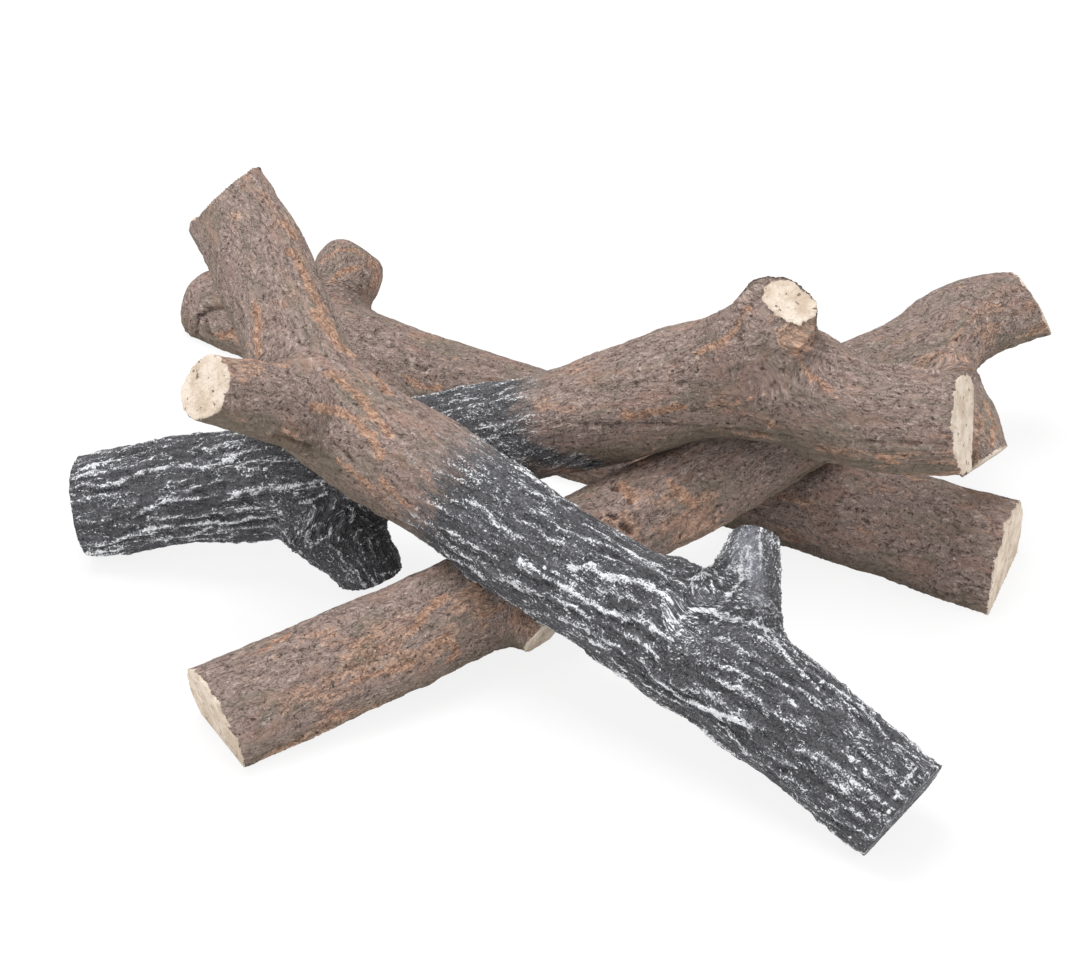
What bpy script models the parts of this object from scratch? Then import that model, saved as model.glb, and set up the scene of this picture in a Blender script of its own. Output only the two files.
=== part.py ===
"""Ceramic log set for a gas fire: four cast logs that lie across each other as one pile.

Each log is one casting in refractory ceramic. It was cast in an open mould, so its back is
struck off flat and its front is round, with the bark, the forks and the broken stubs of the
tree that the mould was taken from. Butts and branches end in flat saw cuts.

Nothing joins the logs. The rear log lies flat. The cross log stands on its butt and leans on
the rear log. The bent log stands on its charred end and its broken leg and leans on the cross
log. The top log stands on its butt and lies over both.

A log is modelled as it lies in its mould: +X from its butt along the trunk, +Y across it in
the plane of the flat back, +Z out of the round front. The pile is +Z up, and its origin is on
the ground under the middle of the pile.
"""

import math

import bmesh
import bpy
from mathutils import Matrix, Vector
from mathutils.bvhtree import BVHTree

# Driving sizes in metres: each log's length from its first end to its fork, elbow or far end,
# half its width, and the depth of its flat back behind the middle of the trunk

REAR_LENGTH = 0.620
REAR_RADIUS = 0.035
REAR_BACK = 0.016

CROSS_LENGTH = 0.526
CROSS_RADIUS = 0.032
CROSS_BACK = 0.015

BENT_LENGTH = 0.442
BENT_RADIUS = 0.035
BENT_BACK = 0.017

TOP_LENGTH = 0.435
TOP_RADIUS = 0.035
TOP_BACK = 0.016

# The bark's swellings and furrows: how far they stand out, and their size along and across
# the grain

BARK_RELIEF = 0.0050
BARK_ALONG = 0.055
BARK_ACROSS = 0.016

# The castings are built in cells of this size, points this near a cut are drawn onto it, and
# a log lies this far above what carries it

CELL = 0.0045
SNAP = 0.0006
SEAT_GAP = 0.0003

# How the logs lie: each one's heading and its roll about its own trunk, in degrees, and the
# steepest that a leaning log is tried at

REAR_HEADING = 149.8
REAR_ROLL = 0.0
CROSS_HEADING = 34.2
CROSS_ROLL = 0.0
BENT_HEADING = -2.3
BENT_ROLL = 52.0
TOP_HEADING = 141.1
TOP_ROLL = -18.0
STEEPEST = 35.0

# Where a log crosses the one below it, as shares of the two logs' lengths

CROSS_ON_REAR_SHARES = (0.78, 0.24)
BENT_ON_CROSS_SHARES = (0.87, 0.62)
TOP_ON_CROSS_SHARES = (0.72, 0.328)

# Of the faces that a fine casting has, the share that is kept

KEPT_SHARE = 0.27

# Paints, as linear colours: brown bark, charred bark, and the bare ceramic of the saw cuts

BROWN = (0.17, 0.12, 0.09)
CHARRED = (0.06, 0.06, 0.06)
BARE = (0.75, 0.63, 0.50)


class Log:
    """One casting: its driving sizes, its lie, and the limbs and cuts that follow them."""

    def __init__(self, name, length, radius, back, heading, roll):
        self.name = name
        self.length = length
        self.radius = radius
        self.back = back
        self.heading = heading
        self.roll = roll
        self.limbs = []
        self.cuts = []
        self.mesh = None
        self.matrix = Matrix.Identity(4)
        self.pitch = 0.0

    def point(self, along, aside, front):
        """A place in the mould: two shares of the length and one of the radius."""
        return Vector((along * self.length, aside * self.length, front * self.radius))

    def limb(self, shares):
        """Adds a limb: rows of a place on its middle line and its thickness there."""
        self.limbs.append([(self.point(*row[:3]), row[3] * self.radius) for row in shares])

    def cut(self, shares, facing):
        """Adds a saw cut: a place on its plane and its reach from there, and the way it faces."""
        self.cuts.append((self.point(*shares[:3]), shares[3] * self.radius, Vector(facing)))


def limb_mesh(points):
    """A round limb through the points, as a tube of changing thickness."""
    curve = bpy.data.curves.new("limb", "CURVE")
    curve.dimensions = "3D"
    curve.resolution_u = 4
    curve.bevel_depth = 1.0
    curve.bevel_resolution = 6
    curve.use_fill_caps = True
    spline = curve.splines.new("BEZIER")
    spline.bezier_points.add(len(points) - 1)
    for knot, (place, thickness) in zip(spline.bezier_points, points):
        knot.co = place
        knot.radius = thickness
        knot.handle_left_type = "AUTO"
        knot.handle_right_type = "AUTO"
    guide = bpy.data.objects.new("limb", curve)
    bpy.context.scene.collection.objects.link(guide)
    graph = bpy.context.evaluated_depsgraph_get()
    mesh = bpy.data.meshes.new_from_object(guide.evaluated_get(graph))
    bpy.data.objects.remove(guide)
    return mesh


def bark_texture():
    """Long swellings and furrows, in units of the bark's own size."""
    texture = bpy.data.textures.new("bark swellings", "CLOUDS")
    texture.noise_scale = 1.0
    texture.noise_depth = 1
    return texture


def fused(log):
    """The log's limbs as one closed body, with its bark's larger swellings."""
    limbs = bmesh.new()
    for points in log.limbs:
        limb = limb_mesh(points)
        limbs.from_mesh(limb)
        bpy.data.meshes.remove(limb)
    bmesh.ops.remove_doubles(limbs, verts=limbs.verts[:], dist=SNAP / 10)
    mesh = bpy.data.meshes.new(log.name)
    limbs.to_mesh(mesh)
    limbs.free()
    blank = bpy.data.objects.new(log.name, mesh)
    bpy.context.scene.collection.objects.link(blank)
    remesh = blank.modifiers.new("one body", "REMESH")
    remesh.mode = "VOXEL"
    remesh.voxel_size = CELL
    smooth = blank.modifiers.new("soft forks", "SMOOTH")
    smooth.factor = 0.5
    smooth.iterations = 5
    grain = bpy.data.objects.new(log.name + " grain", None)
    bpy.context.scene.collection.objects.link(grain)
    grain.scale = (BARK_ALONG, BARK_ACROSS, BARK_ACROSS)
    bark = blank.modifiers.new("bark", "DISPLACE")
    bark.texture = bark_texture()
    bark.texture_coords = "OBJECT"
    bark.texture_coords_object = grain
    bark.strength = BARK_RELIEF
    bark.mid_level = 0.5
    fewer = blank.modifiers.new("fewer faces", "DECIMATE")
    fewer.ratio = KEPT_SHARE
    graph = bpy.context.evaluated_depsgraph_get()
    made = bpy.data.meshes.new_from_object(blank.evaluated_get(graph))
    bpy.data.objects.remove(blank)
    bpy.data.objects.remove(grain)
    return made


def slice_off(body, place, facing, faces):
    """Cuts the faces with a plane, takes off what lies beyond it and closes the cut."""
    parts = set(faces)
    for face in faces:
        parts.update(face.edges)
        parts.update(face.verts)
    bmesh.ops.bisect_plane(
        body,
        geom=list(parts),
        dist=SNAP,
        plane_co=place,
        plane_no=facing,
        use_snap_center=True,
        clear_outer=True,
    )
    rim = [edge for edge in body.edges if edge.is_boundary]
    closed = bmesh.ops.holes_fill(body, edges=rim, sides=0)
    return closed["faces"]


def casting(log):
    """The finished log in its mould: fused, sawn, and struck off flat at the back."""
    mesh = fused(log)
    body = bmesh.new()
    body.from_mesh(mesh)
    for place, reach, facing in log.cuts:
        near = [face for face in body.faces if (face.calc_center_median() - place).length < reach]
        for face in slice_off(body, place, facing, near):
            face.material_index = 1
    slice_off(body, Vector((0, 0, -log.back)), Vector((0, 0, -1)), body.faces[:])
    bmesh.ops.recalc_face_normals(body, faces=body.faces[:])
    body.to_mesh(mesh)
    body.free()
    return mesh


def posed(log, pitch, pivot, above):
    """The log's place at a pitch: its pivot over a point of the plan, its lowest point on the ground."""
    turn = (
        Matrix.Rotation(math.radians(log.heading), 4, "Z")
        @ Matrix.Rotation(-pitch, 4, "Y")
        @ Matrix.Rotation(math.radians(log.roll), 4, "X")
    )
    lowest = min((turn @ vertex.co).z for vertex in log.mesh.vertices)
    shift = above - turn @ pivot
    shift.z = -lowest
    return Matrix.Translation(shift) @ turn


def surface(log, matrix):
    """The log's surface at a place, for contact tests."""
    corners = [matrix @ vertex.co for vertex in log.mesh.vertices]
    return BVHTree.FromPolygons(corners, [face.vertices[:] for face in log.mesh.polygons])


def settle(log, share, under, under_share, carriers):
    """Leans the log on its carriers: the least pitch at which it clears them by the seat gap."""
    pivot = log.point(share, 0, 0)
    above = under.matrix @ under.point(under_share, 0, 0)
    standing = [surface(carrier, carrier.matrix) for carrier in carriers]
    lower = Matrix.Translation((0, 0, -SEAT_GAP))
    low = 0.0
    high = math.radians(STEEPEST)
    for _ in range(16):
        middle = (low + high) / 2
        tried = surface(log, lower @ posed(log, middle, pivot, above))
        if any(tried.overlap(carrier) for carrier in standing):
            low = middle
        else:
            high = middle
    log.matrix = posed(log, high, pivot, above)
    log.pitch = math.degrees(high)


for item in list(bpy.data.objects):
    bpy.data.objects.remove(item)


# Rear log: a straight trunk with a rounded far end and a knob that stands up behind it. Each
# row of a limb is a place (along, aside, front) and a thickness, each row of a cut a place and
# a reach

rear = Log("rear_log", REAR_LENGTH, REAR_RADIUS, REAR_BACK, REAR_HEADING, REAR_ROLL)
rear_trunk_shares = (
    (-0.06, -0.001, 0.00, 1.15),
    (0.11, -0.004, 0.00, 1.08),
    (0.34, -0.003, 0.00, 1.00),
    (0.60, 0.000, 0.00, 0.99),
    (0.79, -0.015, 0.00, 0.98),
    (0.90, -0.028, -0.04, 0.92),
    (0.96, -0.031, -0.06, 0.88),
    (1.00, -0.029, -0.08, 0.68),
)
rear_knob_shares = (
    (0.82, -0.015, 0.10, 0.76),
    (0.822, -0.060, 0.70, 0.64),
    (0.825, -0.091, 1.08, 0.74),
    (0.82, -0.108, 1.33, 0.52),
)
rear_butt_cut_shares = (-0.004, 0, 0, 3.0)
rear.limb(rear_trunk_shares)
rear.limb(rear_knob_shares)
rear.cut(rear_butt_cut_shares, (-0.987, -0.157, -0.03))


# Cross log: a trunk that forks near its far end, with a small broken stub on its front side

cross = Log("cross_log", CROSS_LENGTH, CROSS_RADIUS, CROSS_BACK, CROSS_HEADING, CROSS_ROLL)
cross_trunk_shares = (
    (-0.07, 0.001, 0.00, 1.07),
    (0.09, -0.012, 0.00, 1.05),
    (0.30, -0.023, 0.00, 1.02),
    (0.50, -0.018, 0.00, 0.98),
    (0.70, -0.012, 0.00, 0.97),
    (0.88, 0.002, 0.00, 1.04),
    (0.99, 0.000, -0.02, 1.00),
    (1.06, 0.025, -0.04, 0.93),
    (1.13, 0.018, -0.08, 0.85),
    (1.18, -0.002, -0.12, 0.70),
    (1.24, -0.016, -0.12, 0.60),
)
cross_branch_shares = (
    (0.975, -0.03, -0.05, 0.88),
    (0.947, -0.13, -0.12, 0.63),
    (0.911, -0.20, -0.12, 0.53),
    (0.881, -0.26, -0.12, 0.50),
)
cross_stub_shares = (
    (0.330, -0.035, -0.08, 0.58),
    (0.345, -0.090, -0.10, 0.48),
    (0.350, -0.150, -0.10, 0.44),
)
cross_butt_cut_shares = (-0.011, 0, 0, 3.0)
cross_fork_cut_shares = (1.165, 0.003, 0, 2.2)
cross_branch_cut_shares = (0.915, -0.205, 0, 1.8)
cross_stub_cut_shares = (0.350, -0.118, 0, 1.0)
cross.limb(cross_trunk_shares)
cross.limb(cross_branch_shares)
cross.limb(cross_stub_shares)
cross.cut(cross_butt_cut_shares, (-0.99, 0.07, -0.10))
cross.cut(cross_fork_cut_shares, (0.91, -0.25, 0.33))
cross.cut(cross_branch_cut_shares, (0.08, -0.75, -0.65))
cross.cut(cross_stub_cut_shares, (0.10, -0.85, -0.45))


# Bent log: charred from its first end, which a broken leg props, with an elbow and a stub

bent = Log("bent_log", BENT_LENGTH, BENT_RADIUS, BENT_BACK, BENT_HEADING, BENT_ROLL)
bent_trunk_shares = (
    (-0.08, 0.00, 0.00, 0.78),
    (0.00, 0.00, 0.00, 0.84),
    (0.05, -0.001, 0.00, 0.92),
    (0.11, 0.000, 0.00, 0.94),
    (0.26, -0.009, 0.00, 0.99),
    (0.40, -0.010, 0.00, 0.99),
    (0.52, -0.008, 0.00, 0.93),
    (0.65, -0.003, 0.00, 0.90),
    (0.79, 0.007, 0.00, 0.99),
    (0.90, 0.018, 0.00, 1.05),
    (1.00, 0.000, 0.00, 1.10),
    (1.09, -0.058, 0.00, 0.97),
    (1.17, -0.084, 0.00, 0.94),
    (1.25, -0.104, 0.00, 0.88),
    (1.32, -0.120, 0.00, 0.86),
)
bent_leg_shares = (
    (0.33, -0.03, 0.00, 0.97),
    (0.355, -0.08, -0.05, 0.83),
    (0.388, -0.135, -0.20, 0.64),
    (0.415, -0.225, -0.42, 0.53),
)
bent_stub_shares = (
    (0.93, 0.02, 0.20, 0.98),
    (1.003, 0.058, 0.76, 0.82),
    (1.05, 0.113, 1.42, 0.56),
)
bent_end_cut_shares = (0.006, 0, 0, 3.0)
bent_elbow_cut_shares = (1.242, -0.106, 0, 2.6)
bent_leg_cut_shares = (0.403, -0.161, -0.28, 1.6)
bent_stub_cut_shares = (1.04, 0.088, 1.05, 1.4)
bent.limb(bent_trunk_shares)
bent.limb(bent_leg_shares)
bent.limb(bent_stub_shares)
bent.cut(bent_end_cut_shares, (-0.99, 0.05, 0.05))
bent.cut(bent_elbow_cut_shares, (0.95, -0.19, 0.21))
bent.cut(bent_leg_cut_shares, (0.08, -0.86, -0.50))
bent.cut(bent_stub_cut_shares, (0.41, 0.36, 0.84))


# Top log: charred at its butt, forked at its far end, with a burnt stub on its right

top = Log("top_log", TOP_LENGTH, TOP_RADIUS, TOP_BACK, TOP_HEADING, TOP_ROLL)
top_trunk_shares = (
    (-0.09, 0.00, 0.00, 0.88),
    (0.00, -0.002, 0.00, 0.92),
    (0.10, -0.011, 0.00, 0.95),
    (0.20, -0.018, 0.00, 0.98),
    (0.34, -0.023, 0.00, 1.05),
    (0.49, -0.013, 0.00, 0.98),
    (0.63, -0.005, 0.00, 1.00),
    (0.79, -0.006, 0.00, 1.01),
    (0.90, 0.003, 0.00, 1.00),
    (1.00, 0.000, 0.00, 1.00),
    (1.12, -0.064, 0.00, 0.90),
    (1.23, -0.122, 0.00, 0.90),
    (1.36, -0.180, 0.00, 0.86),
    (1.43, -0.212, 0.00, 0.85),
)
top_branch_shares = (
    (0.96, 0.01, 0.10, 0.84),
    (1.01, 0.083, 0.97, 0.68),
    (1.045, 0.141, 1.69, 0.59),
    (1.07, 0.189, 2.23, 0.57),
)
top_stub_shares = (
    (0.44, -0.036, 0.00, 0.93),
    (0.34, -0.05, 0.00, 1.00),
    (0.355, -0.12, 0.00, 0.67),
    (0.395, -0.203, 0.00, 0.42),
    (0.425, -0.27, 0.00, 0.38),
)
top_butt_cut_shares = (0, 0, 0, 3.0)
top_fork_cut_shares = (1.360, -0.182, 0, 2.2)
top_branch_cut_shares = (1.046, 0.150, 1.86, 1.6)
top_stub_cut_shares = (0.395, -0.210, 0, 1.3)
top.limb(top_trunk_shares)
top.limb(top_branch_shares)
top.limb(top_stub_shares)
top.cut(top_butt_cut_shares, (-0.98, 0.02, -0.19))
top.cut(top_fork_cut_shares, (0.90, 0.0, 0.44))
top.cut(top_branch_cut_shares, (0.36, 0.57, 0.74))
top.cut(top_stub_cut_shares, (0.40, -0.90, 0.10))


# The castings

logs = (rear, cross, bent, top)
for log in logs:
    log.mesh = casting(log)


# The pile: the rear log lies flat, and each later one leans on those that lie already

rear.matrix = posed(rear, 0.0, Vector(), Vector())
settle(cross, CROSS_ON_REAR_SHARES[0], rear, CROSS_ON_REAR_SHARES[1], (rear,))
settle(bent, BENT_ON_CROSS_SHARES[0], cross, BENT_ON_CROSS_SHARES[1], (rear, cross))
settle(top, TOP_ON_CROSS_SHARES[0], cross, TOP_ON_CROSS_SHARES[1], (rear, cross, bent))

corners = [log.matrix @ vertex.co for log in logs for vertex in log.mesh.vertices]
low = Vector([min(corner[axis] for corner in corners) for axis in range(3)])
high = Vector([max(corner[axis] for corner in corners) for axis in range(3)])
centre = Vector(((low.x + high.x) / 2, (low.y + high.y) / 2, low.z))


# Finish: brown or charred bark on the castings, bare ceramic on the cuts

def paint(name, colour, roughness):
    """A matt paint in the given colour."""
    material = bpy.data.materials.new(name)
    material.use_nodes = True
    shader = material.node_tree.nodes["Principled BSDF"]
    shader.inputs["Base Color"].default_value = (*colour, 1.0)
    shader.inputs["Roughness"].default_value = roughness
    shader.inputs["Metallic"].default_value = 0.0
    material.diffuse_color = (*colour, 1.0)
    return material


pile = bpy.data.collections.new("ceramic log set")
bpy.context.scene.collection.children.link(pile)
bare_ceramic = paint("bare ceramic", BARE, 0.9)
for log, colour in zip(logs, (BROWN, BROWN, CHARRED, CHARRED)):
    piece = bpy.data.objects.new(log.name, log.mesh)
    pile.objects.link(piece)
    piece.matrix_world = Matrix.Translation(-centre) @ log.matrix
    log.mesh.materials.clear()
    log.mesh.materials.append(paint(log.name + " bark", colour, 0.85))
    log.mesh.materials.append(bare_ceramic)
    log.mesh.shade_smooth()
    log.mesh.set_sharp_from_angle(angle=math.radians(50))
    print(log.name, "pitch", round(log.pitch, 2), "butt", [round(v * 1000, 1) for v in piece.matrix_world.translation])
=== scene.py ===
"""Ceramic log set for a gas fire: four painted castings that lie across each other as one pile.

Each log is laid fresh over its solid: the solid's skin is drawn again in small faces, the bark
is carved into it along the grain of its trunk and limbs, and the paints are laid on by where
the fire has charred it and where the saw has cut it, with painted shade in the hollows and a
painted highlight where the bark stands out.
"""

import math

import bmesh
import bpy
import numpy as np
from mathutils import Matrix, Vector, noise
from mathutils.bvhtree import BVHTree


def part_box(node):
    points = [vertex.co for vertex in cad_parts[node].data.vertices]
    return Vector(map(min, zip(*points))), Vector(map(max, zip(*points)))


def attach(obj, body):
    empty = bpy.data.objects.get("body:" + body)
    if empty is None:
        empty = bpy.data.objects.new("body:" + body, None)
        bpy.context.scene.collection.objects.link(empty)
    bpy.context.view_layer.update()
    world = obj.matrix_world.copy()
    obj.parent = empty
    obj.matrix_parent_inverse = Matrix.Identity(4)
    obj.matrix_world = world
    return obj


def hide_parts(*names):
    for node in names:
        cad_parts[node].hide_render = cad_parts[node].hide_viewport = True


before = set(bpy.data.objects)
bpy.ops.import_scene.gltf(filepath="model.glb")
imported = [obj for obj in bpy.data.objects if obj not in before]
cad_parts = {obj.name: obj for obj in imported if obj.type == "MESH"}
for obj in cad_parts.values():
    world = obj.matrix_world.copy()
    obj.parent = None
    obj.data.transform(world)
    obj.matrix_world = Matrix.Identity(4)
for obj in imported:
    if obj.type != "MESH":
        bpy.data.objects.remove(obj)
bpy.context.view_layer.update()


# Camera: two metres from the pile and 33 degrees above the ground, square to the front of the
# pile. A pixel of the photograph is 0.65 mm wide where the camera is aimed.

PHOTO_WIDTH = 1084
PHOTO_HEIGHT = 957
AIM = Vector((-0.0203, 0.0840, 0.0))
CAMERA_DISTANCE = 2.0
CAMERA_RISE = math.radians(33)
SENSOR_WIDTH_MM = 36
PIXEL_WIDTH = 0.00065
FOCAL_PIXELS = CAMERA_DISTANCE / PIXEL_WIDTH

camera_data = bpy.data.cameras.new("camera")
camera_data.sensor_width = SENSOR_WIDTH_MM
camera_data.lens = SENSOR_WIDTH_MM * FOCAL_PIXELS / PHOTO_WIDTH
camera = bpy.data.objects.new("camera", camera_data)
camera.location = AIM + CAMERA_DISTANCE * Vector((0, -math.cos(CAMERA_RISE), math.sin(CAMERA_RISE)))
camera.rotation_euler = (math.pi / 2 - CAMERA_RISE, 0, 0)
bpy.context.scene.collection.objects.link(camera)
bpy.context.scene.camera = camera
bpy.context.view_layer.update()


def seen(tree, u, v):
    """The point of a surface that shows at a pixel of the photograph, or None."""
    ray = Vector((u - PHOTO_WIDTH / 2, PHOTO_HEIGHT / 2 - v, -FOCAL_PIXELS))
    ray = camera.matrix_world.to_3x3() @ ray
    return tree.ray_cast(camera.location, ray.normalized())[0]


# Rear log: refractory ceramic cast in an open mould, round in front and struck off flat behind,
# painted brown all over. It lies flat on its back, with a sawn butt at the right, a rounded far
# end with an old branch scar, and a knob that stands up behind it.

WELD = 0.00001
SKIN_CELL = 0.0014

# A point lies on a flat within this distance of it, and a face belongs to it within 2 degrees.
FLAT_NEAR = 0.0016
SAME_WAY = math.cos(math.radians(2))

# How many times points are drawn towards their neighbours, to lose facets and to blend limbs.
FACET_ROUNDS = 14
LIMB_ROUNDS = 40
GRAIN_ROUNDS = 16

# How sharply a point keeps to the limb that it is nearest to.
LIMB_PULL = 7

# Bark stays this far off the logs beside it, which are looked for up to a reach.
PAINT_GAP = 0.0002
NEIGHBOUR_REACH = 0.008

# How far a painted-over rim is worn down, and the grain of every mark's ragged edge.
RIM_WEAR = 0.0025
RAGGED_CELL = (0.0070, 0.0034)


def lie(butt, heading, pitch, roll):
    """A log's place in the pile, from its mould: +X along the trunk, +Z out of its round front."""
    return (
        Matrix.Translation(butt)
        @ Matrix.Rotation(math.radians(heading), 4, "Z")
        @ Matrix.Rotation(-math.radians(pitch), 4, "Y")
        @ Matrix.Rotation(math.radians(roll), 4, "X")
    )


def eased(values, low, high):
    """0 below the low value, 1 above the high one, and a smooth rise between."""
    share = np.clip((values - low) / (high - low), 0, 1)
    return share * share * (3 - 2 * share)


def sampled(places, function):
    """A noise function's value at each place."""
    return np.array([function(place) for place in places.tolist()])


def grained(places, along, across, seed, octaves=1, rough=0.7):
    """Noise over the grain, with cells of a length along it and a width across it."""
    cells = places / (along, across, across) + seed
    if octaves == 1:
        return sampled(cells, noise.noise)
    return sampled(cells, lambda cell: noise.fractal(cell, rough, 2.0, octaves))


def lined(values, width):
    """1 where a value is nought, and falls away to 0 on both sides over a width."""
    return np.exp(-((values / width) ** 2))


def limb(rows, length, radius):
    """A limb's middle line and thickness, with the line's corners cut off twice.

    A row has shares of the log's length, along and beside it, and of its radius, up and thick.
    """
    line = np.array(rows, float) * (length, length, radius, radius)
    for _ in range(2):
        early = 0.75 * line[:-1] + 0.25 * line[1:]
        late = 0.25 * line[:-1] + 0.75 * line[1:]
        between = np.stack([early, late], 1).reshape(-1, line.shape[1])
        line = np.concatenate([line[:1], between, line[-1:]])
    return line


def grain_of(points, line, origin):
    """Where points lie along a limb and beside it, which way is out of it, and how far out."""
    nearest = np.full(len(points), np.inf)
    grain = np.zeros((len(points), 3))
    outward = np.zeros((len(points), 3))
    share_out = np.zeros(len(points))
    reached = 0.0
    last = len(line) - 2
    for index in range(len(line) - 1):
        start, end = line[index, :3], line[index + 1, :3]
        length = np.linalg.norm(end - start)
        run = (end - start) / length
        side = np.cross((0, 0, 1), run)
        side = side / np.linalg.norm(side)
        front = np.cross(run, side)
        lowest = -np.inf if index == 0 else 0
        highest = np.inf if index == last else length
        along = np.clip((points - start) @ run, lowest, highest)
        offset = points - start - along[:, None] * run
        away = np.linalg.norm(offset, axis=1)
        mix = np.clip(along / length, 0, 1)
        thick = (1 - mix) * line[index, 3] + mix * line[index + 1, 3]
        nearer = away < nearest
        nearest[nearer] = away[nearer]
        place = origin + np.stack([reached + along, offset @ side, offset @ front], 1)
        grain[nearer] = place[nearer]
        outward[nearer] = (offset / np.maximum(away, 1e-6)[:, None])[nearer]
        share_out[nearer] = (away / thick)[nearer]
        reached += length
    return grain, outward, share_out


def fine_skin(name):
    """The solid's skin again in small even faces: its points, and the mesh that holds them."""
    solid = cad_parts[name].data.copy()
    welded = bmesh.new()
    welded.from_mesh(solid)
    bmesh.ops.remove_doubles(welded, verts=welded.verts, dist=WELD)
    welded.to_mesh(solid)
    welded.free()
    blank = bpy.data.objects.new(name + "_skin", solid)
    bpy.context.scene.collection.objects.link(blank)
    remesh = blank.modifiers.new("small faces", "REMESH")
    remesh.mode = "VOXEL"
    remesh.voxel_size = SKIN_CELL
    graph = bpy.context.evaluated_depsgraph_get()
    skin = bpy.data.meshes.new_from_object(blank.evaluated_get(graph))
    bpy.data.objects.remove(blank)
    points = np.empty(len(skin.vertices) * 3)
    skin.vertices.foreach_get("co", points)
    return skin, points.reshape(-1, 3)


def tree_of(points, mesh):
    """A search tree of a mesh's faces, with the mesh's points at the places given."""
    return BVHTree.FromPolygons(points, [face.vertices[:] for face in mesh.polygons])


def edges_of(mesh):
    """The pairs of points that a mesh's edges join."""
    pairs = np.empty(len(mesh.edges) * 2, int)
    mesh.edges.foreach_get("vertices", pairs)
    return pairs.reshape(-1, 2)


def smoothed(values, pairs, times, share=0.5):
    """Values drawn towards the mean of their neighbours, a number of times."""
    flat = np.array(values, float).reshape(len(values), -1)
    count = np.bincount(pairs.ravel(), minlength=len(values))[:, None]
    for _ in range(times):
        total = np.empty_like(flat)
        for column in range(flat.shape[1]):
            ahead = np.bincount(pairs[:, 0], flat[pairs[:, 1], column], len(values))
            behind = np.bincount(pairs[:, 1], flat[pairs[:, 0], column], len(values))
            total[:, column] = ahead + behind
        flat = flat + share * (total / count - flat)
    return flat.reshape(np.shape(values))


def flat_of(name, place, facing, reach):
    """The plane of a solid's flat face that faces this way near a place, and its reach."""
    middle = Vector((0, 0, 0))
    normal = Vector((0, 0, 0))
    area = 0.0
    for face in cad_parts[name].data.polygons:
        if face.normal.dot(facing.normalized()) > SAME_WAY and (face.center - place).length < reach:
            middle += face.center * face.area
            normal += face.normal * face.area
            area += face.area
    return np.array(middle / area), np.array(normal.normalized()), reach


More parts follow.
